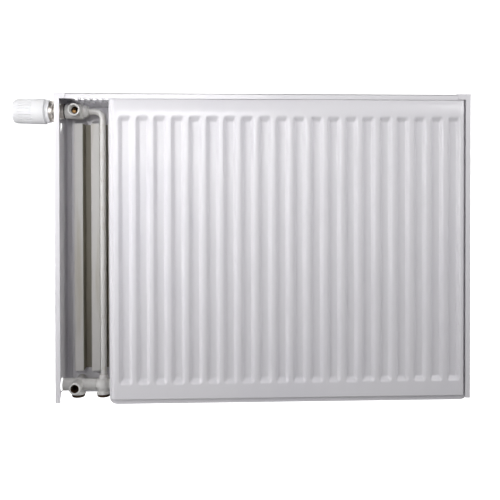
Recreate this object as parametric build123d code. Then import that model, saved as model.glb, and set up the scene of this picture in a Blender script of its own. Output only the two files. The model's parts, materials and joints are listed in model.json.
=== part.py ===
"""Steel panel radiator with a built-in thermostatic valve, hung on a wall.

Two pressed double-sheet panels stand one behind the other, with a folded convector on
the inner side of each. A slotted grille closes the top and two side covers close the
ends. The front panel is short at the left end, so the valve, its riser pipe and the
connection tees stand open to the front.

Millimetres. +X runs to the right seen from the room, +Y towards the wall, +Z up. The
origin is the centre of the four hanger lugs, in the plane that bears on the wall
brackets.
"""
from build123d import *
import os

# Overall size
WIDTH = 806.0
HEIGHT = 600.0
DEPTH = 102.0
LUG_REACH = 14.0
COVER_SHEET = 1.0

# Panels
PANEL_SHEET = 1.2
PITCH = 33.6
CHANNELS_HALF = 12
RAISE = 7.0
SLOPE = 8.6
RECESS_FLAT = 10.6
EDGE_SLOPE = 3.8
FLUTE_END = 13.5
FLUTE_TOP_INSET = 42.0
FLUTE_BOTTOM_INSET = 37.0
FIELD_INSET = 11.0
END_SLOPE = 2.5
OUTER_FIELD_INSET = 10.0
INNER_FIELD_INSET = 15.0
SEAM_TOP_INSET = 3.5
CORNER_RADIUS = 9.0
PANEL_EDGE = 399.0
FIELD_EDGE = 388.7
CUT_FLUTE = -9

# Convectors
FIN_SHEET = 0.6
FIN_HEIGHT = 28.0
FIN_CREST = 17.5
FIN_LENGTH = 494.6

# Waterways
PIPE_DEPTH = 50.0
TOP_PORT_INSET = 30.0
BOTTOM_PORT_INSET = 28.0
STUB_SPACING = 50.0
BOSS_RADIUS = 11.8
BOSS_BORE = 8.75
BOSS_FRONT = 16.0
PORT_DEPTH = 14.0
SOCKET_RADIUS = 12.6
SOCKET_BORE = 9.3
SOCKET_DEPTH = 15.0
TUBE_RADIUS = 11.4
TUBE_BORE = 9.4
RISER_RADIUS = 6.0
RISER_BORE = 5.0
RISER_BEND = 15.0
NIPPLE_RADIUS = 13.2
NIPPLE_BORE = 9.4
NIPPLE_RIM = 14.5

# Valve and thermostatic head, measured along the valve's axis from the cover's face
INSERT_THREAD = 10.5
NECK_THREAD = 15.0
PIN_RADIUS = 2.0
RUNNING_GAP = 0.05
HEAD_LENGTH = 68.5
HANDLE_RADIUS = 25.2
HANDLE_END_RADIUS = 23.6
GRIP_SLOTS = 26
GRIP_FROM = 15.0
GRIP_TO = 38.0
NUT_NOTCHES = 12

# Wall lugs
LUG_SHEET = 2.5
LUG_HEIGHT = 30.0
LUG_FLUTE = 8
LUG_Z = 215.0

# Planes that everything is placed from
FRONT = -(DEPTH + LUG_REACH)
REAR = -LUG_REACH
BOTTOM = -HEIGHT / 2
TOP = HEIGHT / 2
LEFT = -WIDTH / 2
PIPE_Y = FRONT + PIPE_DEPTH
VALVE_Z = TOP - TOP_PORT_INSET
PORT_Z = BOTTOM + BOTTOM_PORT_INSET
TEE_X = 11 * PITCH
SUPPLY_X = -TEE_X + STUB_SPACING
PORT_SEAT = FRONT + BOSS_FRONT + PORT_DEPTH

FRONT_SEAM = FRONT + COVER_SHEET + RAISE + PANEL_SHEET
REAR_SEAM = REAR - COVER_SHEET - 0.2 - RAISE - PANEL_SHEET
FRONT_INNER_FACE = FRONT_SEAM + PANEL_SHEET + RAISE
REAR_INNER_FACE = REAR_SEAM - PANEL_SHEET - RAISE
REAR_WALL_FACE = REAR_SEAM + PANEL_SHEET + RAISE

nodes = {}


def block(x_range, y_range, z_range):
    """Box between two corners, given as a range along each axis."""
    size = [high - low for low, high in (x_range, y_range, z_range)]
    middle = [(high + low) / 2 for low, high in (x_range, y_range, z_range)]
    return Pos(*middle) * Box(*size)


def rod(axis, start, end, radius, end_radius=None):
    """Round bar along X, Y or Z from start to end, or a cone when end_radius is given."""
    length = (Vector(*end) - Vector(*start)).length
    sign = 1 if sum(end) > sum(start) else -1
    directions = {"X": (sign, 0, 0), "Y": (0, sign, 0), "Z": (0, 0, sign)}
    plane = Plane(origin=start, z_dir=directions[axis])
    base = (Align.CENTER, Align.CENTER, Align.MIN)
    if end_radius is None:
        return plane * Cylinder(radius, length, align=base)
    return plane * Cone(radius, end_radius, length, align=base)


def along_x(x_from, x_to, radius, end_radius=None, z=VALVE_Z, y=PIPE_Y):
    return rod("X", (x_from, y, z), (x_to, y, z), radius, end_radius)


def along_y(y_from, y_to, radius, x, z):
    return rod("Y", (x, y_from, z), (x, y_to, z), radius)


def along_z(z_from, z_to, radius, x, end_radius=None, y=PIPE_Y):
    return rod("Z", (x, y, z_from), (x, y, z_to), radius, end_radius)


def turned(profile):
    """Solid turned about the valve's axis from (distance out from the cover, radius)."""
    points = [(LEFT - out, PIPE_Y, VALVE_Z + radius) for out, radius in profile]
    face = make_face(Polyline(*points, close=True))
    return revolve(face, Axis((0, PIPE_Y, VALVE_Z), (1, 0, 0)), 360)


def ring_around(count, solid):
    """The solid repeated evenly about the valve's axis."""
    axis = Axis((0, PIPE_Y, VALVE_Z), (1, 0, 0))
    return [solid.rotate(axis, 360 * step / count) for step in range(count)]


def o_ring(x, radius, thickness, z=VALVE_Z):
    plane = Plane(origin=(x, PIPE_Y, z), z_dir=(1, 0, 0))
    return plane * Torus(radius + thickness / 2, thickness / 2)


def tapered_slab(x_range, z_range, low, high, inset, radius):
    """Slab between two heights in front of Y = 0, its outline drawn in by the insets.

    The insets are given for the left, right, bottom and top edges, and the outline is
    that much smaller at the high level.
    """
    levels = []
    for height, share in ((low, 0.0), (high, 1.0)):
        x_low = x_range[0] + share * inset[0]
        x_high = x_range[1] - share * inset[1]
        z_low = z_range[0] + share * inset[2]
        z_high = z_range[1] - share * inset[3]
        outline = RectangleRounded(x_high - x_low, z_high - z_low, radius)
        place = Pos((x_low + x_high) / 2, (z_low + z_high) / 2)
        levels.append(Plane.XZ.offset(height) * place * outline)
    return loft(levels, ruled=True)


def pressed_sheet(x_range, left_slope, field_x, field_top, flutes):
    """One pressed steel sheet, raised towards -Y from a seam in the plane Y = 0."""
    field_z = (BOTTOM + FIELD_INSET - END_SLOPE, field_top)
    face = PANEL_SHEET + RAISE
    inset = (left_slope, EDGE_SLOPE, END_SLOPE, END_SLOPE)
    field = tapered_slab(field_x, field_z, PANEL_SHEET, face, inset, 5.0)
    pocket = tapered_slab(
        (-RECESS_FLAT / 2, RECESS_FLAT / 2),
        (BOTTOM + FLUTE_BOTTOM_INSET + FLUTE_END, TOP - FLUTE_TOP_INSET - FLUTE_END),
        PANEL_SHEET,
        face,
        (-SLOPE, -SLOPE, -FLUTE_END, -FLUTE_END),
        4.0,
    )
    form = field - [Pos(PITCH * flute, 0, 0) * pocket for flute in flutes]
    plate = block(x_range, (-PANEL_SHEET, 0), (BOTTOM, TOP - SEAM_TOP_INSET))
    corners = plate.edges().filter_by(Axis.Y).group_by(Axis.Z)[0]
    plate = fillet(corners, CORNER_RADIUS)
    return plate + form - Pos(0, PANEL_SHEET, 0) * form


def panel_sheets(name, x_left, left_slope, field_left, flutes, seam, ports, wall_side):
    """The two sheets of a panel: the outer one faces out, the inner one has the ports."""
    x_range = (x_left, PANEL_EDGE)
    field_x = (field_left, FIELD_EDGE + EDGE_SLOPE)
    outer = pressed_sheet(x_range, left_slope, field_x, TOP - OUTER_FIELD_INSET, flutes)
    inner = pressed_sheet(x_range, left_slope, field_x, TOP - INNER_FIELD_INSET, flutes)
    for x, z in ports:
        inner -= along_y(-PANEL_SHEET - RAISE, 0, BOSS_BORE, x, z)
    if wall_side:
        outer = mirror(outer, about=Plane.XZ)
    else:
        inner = mirror(inner, about=Plane.XZ)
    nodes[name + "_outer_sheet"] = Pos(0, seam, 0) * outer
    nodes[name + "_inner_sheet"] = Pos(0, seam, 0) * inner


def convector(x_start, count, face, direction):
    """Folded strip: its valleys lie on the panel's face and its crests stand off it."""
    crest_y = face + direction * (FIN_HEIGHT - FIN_SHEET / 2)
    valley_y = face + direction * FIN_SHEET / 2
    valley = PITCH - FIN_CREST + 2 * FIN_SHEET
    outline = Sketch()
    for step in range(count):
        x = x_start + PITCH * step
        outline += Pos(x, crest_y) * Rectangle(FIN_CREST, FIN_SHEET)
        for side in (-1, 1):
            wall_x = x + side * (FIN_CREST - FIN_SHEET) / 2
            wall_y = face + direction * FIN_HEIGHT / 2
            outline += Pos(wall_x, wall_y) * Rectangle(FIN_SHEET, FIN_HEIGHT)
        if step < count - 1:
            outline += Pos(x + PITCH / 2, valley_y) * Rectangle(valley, FIN_SHEET)
    return Pos(0, 0, -FIN_LENGTH / 2) * extrude(outline, FIN_LENGTH)


def make_panels():
    both_tees = [(side * TEE_X, z) for side in (-1, 1) for z in (PORT_Z, VALVE_Z)]
    right_tees = both_tees[2:]
    cut_x = CUT_FLUTE * PITCH + 2.0
    cut_field = CUT_FLUTE * PITCH + RECESS_FLAT / 2
    front_flutes = range(CUT_FLUTE + 1, CHANNELS_HALF)
    rear_flutes = range(1 - CHANNELS_HALF, CHANNELS_HALF)
    panel_sheets("front_panel", cut_x, SLOPE, cut_field, front_flutes, FRONT_SEAM, right_tees, False)
    panel_sheets(
        "rear_panel", -PANEL_EDGE, EDGE_SLOPE, -FIELD_EDGE - EDGE_SLOPE,
        rear_flutes, REAR_SEAM, both_tees, True,
    )
    first = (CUT_FLUTE + 1) * PITCH
    nodes["front_convector"] = convector(first, 20, FRONT_INNER_FACE, 1)
    nodes["rear_convector"] = convector(-TEE_X, 23, REAR_INNER_FACE, -1)


# Top grille: a tray of slats with a lip over each panel's seam and an inner hook flange
GRILLE_TOP = TOP - 1.2
GRILLE_LIP = 10.0
HOOK_LIP = 13.0
SLAT_PITCH = 12.0
SLAT_WIDTH = 4.0
GRILLE_HALF = 401.5


def make_grille():
    x_range = (-GRILLE_HALF, GRILLE_HALF)
    y_front = FRONT + COVER_SHEET + 0.2
    y_back = REAR - COVER_SHEET - 0.2
    plate = block(x_range, (y_front, y_back), (GRILLE_TOP - COVER_SHEET, GRILLE_TOP))
    hook_front = FRONT_SEAM + PANEL_SHEET + 1.0
    hook_back = REAR_SEAM - PANEL_SHEET - 1.0
    faces = [
        (y_front, y_front + COVER_SHEET, GRILLE_LIP),
        (hook_front, hook_front + COVER_SHEET, HOOK_LIP),
        (hook_back - COVER_SHEET, hook_back, HOOK_LIP),
        (y_back - COVER_SHEET, y_back, GRILLE_LIP),
    ]
    for y_low, y_high, drop in faces:
        plate += block(x_range, (y_low, y_high), (GRILLE_TOP - drop, GRILLE_TOP))
    middle = (hook_front + hook_back) / 2
    slot_length = (hook_back - hook_front) / 2 - 8.0
    columns = int((2 * GRILLE_HALF - 40) / SLAT_PITCH)
    slots = []
    for column in range(columns):
        x = (column - (columns - 1) / 2) * SLAT_PITCH
        for side in (-1, 1):
            y = middle + side * (slot_length / 2 + 3.0)
            slots.append(Pos(x, y, GRILLE_TOP) * Box(SLAT_PITCH - SLAT_WIDTH, slot_length, 6))
    nodes["top_grille"] = plate - slots
    clips = []
    for x in (-240.0, 240.0):
        for seam, side in ((FRONT_SEAM, 1), (REAR_SEAM, -1)):
            near = seam + side * (PANEL_SHEET + 0.2)
            far = seam + side * (PANEL_SHEET + 0.8)
            y_range = (min(near, far), max(near, far))
            clips.append(block((x - 10, x + 10), y_range, (TOP - 14.6, TOP - 4.0)))
    nodes["grille_clips"] = Compound(children=clips)


# Side covers: a web, a front and a back flange, and a top lip with a slanted end
FLANGE = 10.0
LIP_HEIGHT = 10.7
COVER_BOTTOM = 5.5
REAR_STEP = 8.0
STEP_DEPTH = 40.0
VALVE_HOLE = 19.0
SOCKET_HOLE = 13.2


def side_cover(lip_reach):
    """Cover for the left end, its outer face in the plane X = LEFT."""
    bottom = BOTTOM + COVER_BOTTOM
    sheet = COVER_SHEET
    web = block((LEFT, LEFT + sheet), (FRONT, REAR), (bottom, TOP))
    step = block((LEFT - 1, LEFT + 30), (FRONT + STEP_DEPTH, REAR + 1), (bottom - 1, bottom + REAR_STEP))
    corner = step.edges().filter_by(Axis.X).group_by(Axis.Z)[-1].group_by(Axis.Y)[0]
    step = fillet(corner, 8.0)
    front = block((LEFT, LEFT + FLANGE), (FRONT, FRONT + sheet), (bottom, TOP))
    back = block((LEFT, LEFT + FLANGE), (REAR - sheet, REAR), (bottom, TOP))
    lip_outline = Polyline(
        (LEFT, TOP - LIP_HEIGHT),
        (LEFT + lip_reach - 3.0, TOP - LIP_HEIGHT),
        (LEFT + lip_reach, TOP),
        (LEFT, TOP),
        close=True,
    )
    lip = extrude(Plane.XZ * make_face(lip_outline), sheet)
    lip_front = Pos(0, FRONT + sheet, 0) * lip
    lip_back = Pos(0, REAR, 0) * lip
    roof = block((LEFT, LEFT + lip_reach), (FRONT, REAR), (TOP - sheet, TOP))
    cover = web + front + back + lip_front + lip_back + roof - step
    holes = [(VALVE_Z, VALVE_HOLE), (PORT_Z, SOCKET_HOLE)]
    for z, radius in holes:
        cover -= along_x(LEFT - 2, LEFT + 2, radius, z=z)
    return cover + cover_tongue() - tongue_window()


TONGUE_Z = 525.0 + BOTTOM
TONGUE_HEIGHT = 21.0
TONGUE_DEPTH = (48.0 + FRONT, 60.0 + FRONT)
TONGUE_LEAN = 6.0


def tongue_window():
    """Window that the lanced tongue is bent out of, a little wider than the tongue."""
    return block(
        (LEFT - 1, LEFT + COVER_SHEET),
        (TONGUE_DEPTH[0] - 0.6, TONGUE_DEPTH[1] + 0.6),
        (TONGUE_Z + 1.0, TONGUE_Z + TONGUE_HEIGHT + 1.0),
    )


def cover_tongue():
    """Tongue that leans in from the web and snaps behind the tee's boss."""
    inner = LEFT + COVER_SHEET
    outline = Polyline(
        (inner - COVER_SHEET, TONGUE_Z),
        (inner, TONGUE_Z),
        (inner + TONGUE_LEAN, TONGUE_Z + TONGUE_HEIGHT),
        (inner + TONGUE_LEAN - 1.2, TONGUE_Z + TONGUE_HEIGHT),
        (inner, TONGUE_Z + 4.0),
        (inner - COVER_SHEET, TONGUE_Z + 1.0),
        close=True,
    )
    width = TONGUE_DEPTH[1] - TONGUE_DEPTH[0]
    return Pos(0, TONGUE_DEPTH[1], 0) * extrude(Plane.XZ * make_face(outline), width)


def make_covers():
    nodes["side_cover_left"] = side_cover(22.0)
    nodes["side_cover_right"] = mirror(side_cover(27.0), about=Plane.YZ)


# Valve housing
HOUSING_LEFT = -392.0
HOUSING_RIGHT = -357.0
HOUSING_RADIUS = 14.65
COLLAR_RIGHT = -349.0
SEAT_FACE = -362.0


def make_valve_housing():
    body = along_x(HOUSING_LEFT, HOUSING_RIGHT, HOUSING_RADIUS)
    body = chamfer(body.edges().group_by(Axis.X)[-1], 2.0)
    body += along_x(HOUSING_RIGHT, COLLAR_RIGHT, 11.0)
    body += along_y(FRONT + BOSS_FRONT, REAR_INNER_FACE, BOSS_RADIUS, -TEE_X, VALVE_Z)
    body -= along_y(FRONT + BOSS_FRONT, PORT_SEAT, BOSS_BORE, -TEE_X, VALVE_Z)
    body -= along_y(PORT_SEAT, REAR_INNER_FACE, BOSS_BORE - 2.0, -TEE_X, VALVE_Z)
    body -= along_x(HOUSING_LEFT, SEAT_FACE - 4.0, INSERT_THREAD)
    body -= along_x(SEAT_FACE - 4.0, SEAT_FACE, 8.0)
    body -= along_x(SEAT_FACE, COLLAR_RIGHT, 4.5)
    body -= along_x(HOUSING_RIGHT, COLLAR_RIGHT, RISER_RADIUS)
    nodes["valve_housing"] = body
    nodes["compression_ring"] = along_x(COLLAR_RIGHT, COLLAR_RIGHT + 3.0, 9.0) - along_x(
        COLLAR_RIGHT, COLLAR_RIGHT + 3.0, RISER_RADIUS
    )


HUB_RADIUS = 15.5


def make_riser():
    """Bent pipe from the valve housing to the supply hub."""
    bottom_z = PORT_Z + 8.0
    path = FilletPolyline(
        (HOUSING_RIGHT, PIPE_Y, VALVE_Z),
        (SUPPLY_X, PIPE_Y, VALVE_Z),
        (SUPPLY_X, PIPE_Y, bottom_z),
        radius=RISER_BEND,
    )
    start = Plane(origin=path @ 0, z_dir=path % 0)
    wall = Circle(RISER_RADIUS) - Circle(RISER_BORE)
    nodes["riser_pipe"] = sweep(start * wall, path=path)


def nipple(x):
    """Male G 3/4 nipple under a hub: rim, thread and a coned end."""
    top = PORT_Z - 13.0
    lower = PORT_Z - 24.5
    solid = along_z(top, lower, NIPPLE_RADIUS, x)
    solid = chamfer(solid.edges().group_by(Axis.Z)[0], 1.5)
    solid += along_z(PORT_Z - 15.0, PORT_Z - 18.0, NIPPLE_RIM, x)
    solid -= along_z(top, lower, NIPPLE_BORE, x)
    return solid - along_z(lower + 3.0, lower, 7.5, x, end_radius=10.6)


def make_bottom_tees():
    front = FRONT + BOSS_FRONT
    hub_bottom = PORT_Z - 13.0
    for name, x in (("return", -TEE_X), ("supply", SUPPLY_X)):
        nodes[name + "_nipple"] = nipple(x)

    tee = Pos(-TEE_X, PIPE_Y, PORT_Z) * Sphere(HUB_RADIUS)
    tee += along_y(front, REAR_INNER_FACE, BOSS_RADIUS - 0.3, -TEE_X, PORT_Z)
    tee += along_x(LEFT + 4.0, -TEE_X, TUBE_RADIUS, z=PORT_Z)
    tee -= block((-450, -300), (FRONT, REAR), (PORT_Z - 40, hub_bottom))
    tee -= along_y(front, PORT_SEAT, BOSS_BORE - 1.5, -TEE_X, PORT_Z)
    tee -= along_y(PORT_SEAT, REAR_INNER_FACE, BOSS_BORE - 3.0, -TEE_X, PORT_Z)
    tee -= along_x(LEFT + 4.0, LEFT + 4.0 + SOCKET_DEPTH, SOCKET_BORE, z=PORT_Z)
    tee -= along_x(LEFT + 4.0, -TEE_X, 7.0, z=PORT_Z)
    tee -= along_z(PORT_Z, hub_bottom, NIPPLE_BORE, -TEE_X)
    nodes["return_tee"] = tee - along_x(-TEE_X + 14.0, -TEE_X + 30.0, 40.0, z=PORT_Z)

    hub = Pos(SUPPLY_X, PIPE_Y, PORT_Z) * Sphere(HUB_RADIUS)
    hub += along_z(PORT_Z, PORT_Z + HUB_RADIUS + 4.0, 11.5, SUPPLY_X, end_radius=7.5)
    hub += along_x(SUPPLY_X, SUPPLY_X + 20.0, TUBE_RADIUS, z=PORT_Z)
    hub -= block((-345, -295), (FRONT, REAR), (PORT_Z - 40, hub_bottom))
    hub -= along_z(hub_bottom, PORT_Z, NIPPLE_BORE, SUPPLY_X)
    hub -= along_z(PORT_Z, PORT_Z + 40.0, RISER_BORE, SUPPLY_X)
    hub -= along_z(PORT_Z + 8.0, PORT_Z + 40.0, RISER_RADIUS, SUPPLY_X)
    hub -= along_x(SUPPLY_X - 40.0, SUPPLY_X - 14.0, 40.0, z=PORT_Z)
    nodes["supply_hub"] = hub

    tube = along_x(-TEE_X + 14.0, SUPPLY_X - 14.0, TUBE_RADIUS, z=PORT_Z)
    for start in (-TEE_X + 14.0, (SUPPLY_X - TEE_X) / 2 + 1.5):
        tube -= along_x(start, start + 9.5, TUBE_BORE, z=PORT_Z)
    nodes["cross_tube"] = tube


SOCKET_END = 396.0


def make_right_tees():
    """Tees that join the two panels at the right end, each with a side socket."""
    for name, z in (("top_right_tee", VALVE_Z), ("bottom_right_tee", PORT_Z)):
        tee = along_y(FRONT_INNER_FACE, REAR_INNER_FACE, BOSS_RADIUS, TEE_X, z)
        tee += along_x(TEE_X, SOCKET_END, SOCKET_RADIUS, z=z)
        tee -= along_y(FRONT_INNER_FACE, REAR_INNER_FACE, BOSS_BORE, TEE_X, z)
        tee -= along_x(TEE_X, SOCKET_END, SOCKET_BORE, z=z)
        nodes[name] = tee


def make_plugs():
    """Blind plug below and bleed plug above, each sealed by a ring under its flange."""
    face = SOCKET_END
    seals = [o_ring(face + 0.9, 9.6, 1.8, z) for z in (VALVE_Z, PORT_Z)]
    nodes["plug_seals"] = Compound(children=seals)

    blind = along_x(face - 12.0, face + 5.8, SOCKET_BORE - 0.05, z=PORT_Z)
    blind += along_x(face + 1.8, face + 5.8, 13.0, z=PORT_Z)
    hexagon = Plane(origin=(face + 1.8, PIPE_Y, PORT_Z), z_dir=(1, 0, 0)) * RegularPolygon(6.4, 6)
    blind -= extrude(hexagon, 6.0)
    nodes["blind_plug"] = blind

    bleed = along_x(face - 12.0, face + 5.8, SOCKET_BORE - 0.05)
    bleed += along_x(face + 1.8, face + 5.8, 13.0)
    bleed -= along_x(face - 4.0, face + 5.8, 5.5)
    bleed -= along_x(face - 12.0, face + 5.8, 2.0)
    nodes["bleed_plug"] = bleed

    screw = along_x(face - 3.0, face + 3.0, 2.9)
    screw += along_x(face - 4.0, face - 3.0, 1.0, end_radius=2.9)
    square = Plane(origin=(face + 3.0, PIPE_Y, VALVE_Z), z_dir=(1, 0, 0)) * Rectangle(4.0, 4.0)
    nodes["bleed_screw"] = screw + extrude(square, 4.0)

    spout = along_x(face - 2.0, face + 2.6, 5.45) - along_x(face - 2.0, face + 2.6, 3.2)
    spout_outlet = along_z(VALVE_Z - 3.2, VALVE_Z - 5.3, 0.7, face + 1.2)
    nodes["bleed_spout"] = spout - spout_outlet


# Valve insert, listed as distances out from the left cover's outer face
def make_valve_insert():
    """Brass insert that screws into the housing and carries the head's M30 neck."""
    inner_end = LEFT - (SEAT_FACE - 8.0)
    nodes["valve_insert"] = turned([
        (inner_end, 2.05), (inner_end, 9.6), (inner_end + 3.0, INSERT_THREAD),
        (LEFT - HOUSING_LEFT, INSERT_THREAD), (LEFT - HOUSING_LEFT, 13.5),
        (-8.0, 13.5), (-8.0, 12.4), (0.0, 12.4), (0.0, 12.0), (17.0, 12.0),
        (18.0, 14.2), (19.0, NECK_THREAD), (30.0, NECK_THREAD), (31.0, 14.2), (31.0, 8.0),
        (13.0, 8.0), (13.0, 6.5), (-11.0, 6.5), (-11.0, 2.05),
    ])
    nodes["gland_nut"] = turned([
        (13.0, PIN_RADIUS + RUNNING_GAP), (13.0, 8.0), (20.0, 8.0), (20.0, 3.4),
        (16.0, 3.4), (16.0, PIN_RADIUS + RUNNING_GAP),
    ])
    nodes["stem_seal"] = turned([(16.2, 2.05), (16.2, 3.3), (18.6, 3.3), (18.6, 2.05)])
    nodes["presetting_ring"] = turned([
        (20.4, 2.6), (20.4, 7.92), (33.0, 7.92), (33.0, 6.0), (23.0, 6.0), (23.0, 2.6),
    ])
    nodes["insert_seal"] = o_ring(HOUSING_LEFT - 1.0, 13.55, 1.6)


def make_valve_pin():
    tip = 38.0
    disc_back = LEFT - (SEAT_FACE - 5.4)
    nodes["valve_pin"] = turned([
        (disc_back, 0), (disc_back, PIN_RADIUS), (8.0, PIN_RADIUS), (8.0, 5.6),
        (10.0, 5.6), (10.0, PIN_RADIUS), (tip - 0.5, PIN_RADIUS), (tip, 1.4), (tip, 0),
    ])
    disc_front = LEFT - (SEAT_FACE - 1.9)
    nodes["valve_disc"] = turned([
        (disc_back, 0), (disc_back, 6.6), (disc_front, 6.6), (disc_front, 0),
    ])
    helix = Helix(pitch=3.3, height=17.0, radius=4.2)
    wire = sweep(Plane(origin=helix @ 0, z_dir=helix % 0) * Circle(0.45), path=helix)
    turn = Location((LEFT + 9.9, PIPE_Y, VALVE_Z), (0, -90, 0))
    nodes["valve_spring"] = turn * wire


# Thermostatic head, listed as distances out from the left cover's outer face
HEAD_FROM = 21.5
HEAD_TO = HEAD_FROM + HEAD_LENGTH
BASE_FROM = HEAD_FROM - 3.0
NUT_FROM = 12.0
RIM = 27.0


def make_head():
    """Handle, end cap, base, union nut and the sensor that pushes on the valve's pin."""
    nut = turned([
        (NUT_FROM, 15.06), (31.2, 15.06), (31.2, 16.9), (33.9, 16.9), (33.9, 13.7),
        (35.4, 13.7), (35.4, 19.0), (34.0, 20.5), (NUT_FROM + 1.0, 20.5), (NUT_FROM, 19.5),
    ])
    notch = Pos(LEFT - NUT_FROM, PIPE_Y, VALVE_Z + 20.0) * Box(6.0, 4.0, 5.0)
    nodes["union_nut"] = nut - ring_around(NUT_NOTCHES, notch)

    nodes["head_base"] = turned([
        (BASE_FROM, 20.9), (BASE_FROM, 21.8), (BASE_FROM + 0.8, 22.6), (RIM - 0.6, 22.6),
        (RIM + 12.0, 22.6), (RIM + 12.0, 16.0), (54.0, 16.0), (54.0, 14.2), (RIM + 10.0, 14.2),
        (RIM + 10.0, 9.5), (31.6, 9.5), (31.6, 16.4), (33.4, 16.4), (33.4, 13.2),
        (RIM + 9.0, 13.2), (RIM + 9.0, 20.9),
    ])

    shell = turned([
        (RIM, 23.1), (RIM, 24.6), (RIM + 0.8, HANDLE_RADIUS), (GRIP_FROM + 34.0, HANDLE_RADIUS),
        (HEAD_TO - 6.0, HANDLE_END_RADIUS), (HEAD_TO - 2.0, 22.2), (HEAD_TO, 19.6),
        (HEAD_TO, 17.0), (HEAD_TO - 3.0, 17.0), (HEAD_TO - 3.0, 14.0), (HEAD_TO - 5.0, 14.0),
        (HEAD_TO - 5.0, 18.0), (58.0, 18.0), (58.0, 20.2), (HEAD_TO - 9.0, 20.2),
        (HEAD_TO - 9.0, 21.5), (RIM + 14.0, 22.9), (RIM + 14.0, 23.1),
    ])
    slot_middle = HEAD_TO - (GRIP_FROM + GRIP_TO) / 2
    slot = Pos(LEFT - slot_middle, PIPE_Y, VALVE_Z + HANDLE_RADIUS) * Box(
        GRIP_TO - GRIP_FROM, 1.8, 3.4
    )
    nodes["handle_shell"] = shell - ring_around(GRIP_SLOTS, slot)
    nodes["handle_cap"] = turned([
        (HEAD_TO - 3.0, 0), (HEAD_TO - 3.0, 17.0), (HEAD_TO, 17.0), (HEAD_TO + 0.6, 16.0),
        (HEAD_TO + 0.6, 0),
    ])

    nodes["sensor_capsule"] = turned([
        (50.0, 0), (50.0, 11.0), (51.0, 12.0), (79.0, 12.0), (80.0, 11.0), (80.0, 0.8),
        (79.4, 0.8), (79.4, 10.9), (78.6, 11.4), (51.4, 11.4), (50.6, 10.9), (50.6, 0),
    ])
    nodes["sensor_carrier"] = turned([
        (62.0, 12.0), (62.0, 17.6), (76.0, 17.6), (76.0, 12.0),
    ])
    nodes["sensor_plunger"] = turned([
        (tip_gap(), 0), (tip_gap(), 4.0), (44.0, 4.0), (44.0, 7.0), (46.0, 7.0),
        (46.0, 4.0), (50.0, 4.0), (50.0, 0),
    ])


def tip_gap():
    """Where the plunger's end stands, just clear of the valve pin's tip."""
    return 38.0 + RUNNING_GAP


def make_lugs():
    """Strap lugs welded to the back of the rear panel, one leg on each side of a flute."""
    half = PITCH / 2 + LUG_SHEET / 2
    for level, z in (("lower", -LUG_Z), ("upper", LUG_Z)):
        for side, flute in (("left", -LUG_FLUTE), ("right", LUG_FLUTE)):
            x = flute * PITCH
            z_range = (z - LUG_HEIGHT / 2, z + LUG_HEIGHT / 2)
            strap = block((x - half, x + half), (REAR_WALL_FACE, 0), z_range)
            gap = block(
                (x - half + LUG_SHEET, x + half - LUG_SHEET),
                (REAR_WALL_FACE, -LUG_SHEET),
                z_range,
            )
            nodes["hanger_lug_" + level + "_" + side] = strap - gap


make_panels()
make_grille()
make_covers()
make_valve_housing()
make_riser()
make_bottom_tees()
make_right_tees()
make_plugs()
make_valve_insert()
make_valve_pin()
make_head()
make_lugs()

os.makedirs("parts", exist_ok=True)
for node, solid in nodes.items():
    export_step(solid, "parts/" + node + ".step")
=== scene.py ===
"""Looks of a steel panel radiator with a built-in thermostatic valve.

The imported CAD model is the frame. Shapes are worked out in millimetres, in the model's own
frame (+X right, +Y towards the wall, +Z up), and turned into metres when a mesh is made.
"""
import json
import math

import bmesh
import bpy
import numpy as np
from mathutils import Matrix, Vector


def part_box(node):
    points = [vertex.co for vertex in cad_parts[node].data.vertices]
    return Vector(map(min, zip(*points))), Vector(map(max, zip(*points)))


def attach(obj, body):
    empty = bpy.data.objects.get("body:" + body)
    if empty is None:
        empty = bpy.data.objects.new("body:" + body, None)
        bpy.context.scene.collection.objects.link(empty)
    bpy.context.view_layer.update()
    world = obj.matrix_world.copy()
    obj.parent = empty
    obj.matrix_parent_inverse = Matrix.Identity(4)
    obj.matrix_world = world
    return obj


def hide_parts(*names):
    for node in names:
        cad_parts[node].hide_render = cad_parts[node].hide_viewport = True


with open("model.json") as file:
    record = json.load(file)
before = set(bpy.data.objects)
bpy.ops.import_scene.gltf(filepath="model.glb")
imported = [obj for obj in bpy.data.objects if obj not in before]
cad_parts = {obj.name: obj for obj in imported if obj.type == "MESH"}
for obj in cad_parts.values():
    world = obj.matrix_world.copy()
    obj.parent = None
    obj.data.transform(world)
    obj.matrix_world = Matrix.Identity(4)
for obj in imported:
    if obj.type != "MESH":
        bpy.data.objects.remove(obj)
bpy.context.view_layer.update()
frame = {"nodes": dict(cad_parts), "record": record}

MM = 0.001
nodes = frame["nodes"]


def box_mm(node):
    """Lowest and highest corner of a CAD node, in millimetres."""
    low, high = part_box(node)
    return np.array(low) / MM, np.array(high) / MM


# ---------------------------------------------------------------- camera, light and floor

CAMERA_AT = (-0.0772, -1.3660, 0.1003)
CAMERA_TOWARDS = (0.0385, 0.9992, -0.0114)
CAMERA_ROLL = -0.0017
CAMERA_LENS = 46.67
CAMERA_SHIFT_Y = -0.0914
FLOOR_DROP = 0.62
FLOOR_HALF = 6.0
SEEN_WHITE = 1.3
UNSEEN_FILL = 0.01


def make_camera():
    """The camera in front of the radiator, a little to the left and turned towards its middle."""
    camera = bpy.data.objects.new("camera", bpy.data.cameras.new("camera"))
    bpy.context.scene.collection.objects.link(camera)
    camera.location = CAMERA_AT
    aim = Vector(CAMERA_TOWARDS).to_track_quat("-Z", "Y").to_matrix()
    camera.rotation_euler = (aim @ Matrix.Rotation(CAMERA_ROLL, 3, "Z")).to_euler()
    camera.data.lens = CAMERA_LENS
    camera.data.sensor_width = 36.0
    camera.data.shift_y = CAMERA_SHIFT_Y
    camera.data.clip_end = 100.0
    bpy.context.scene.camera = camera


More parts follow.
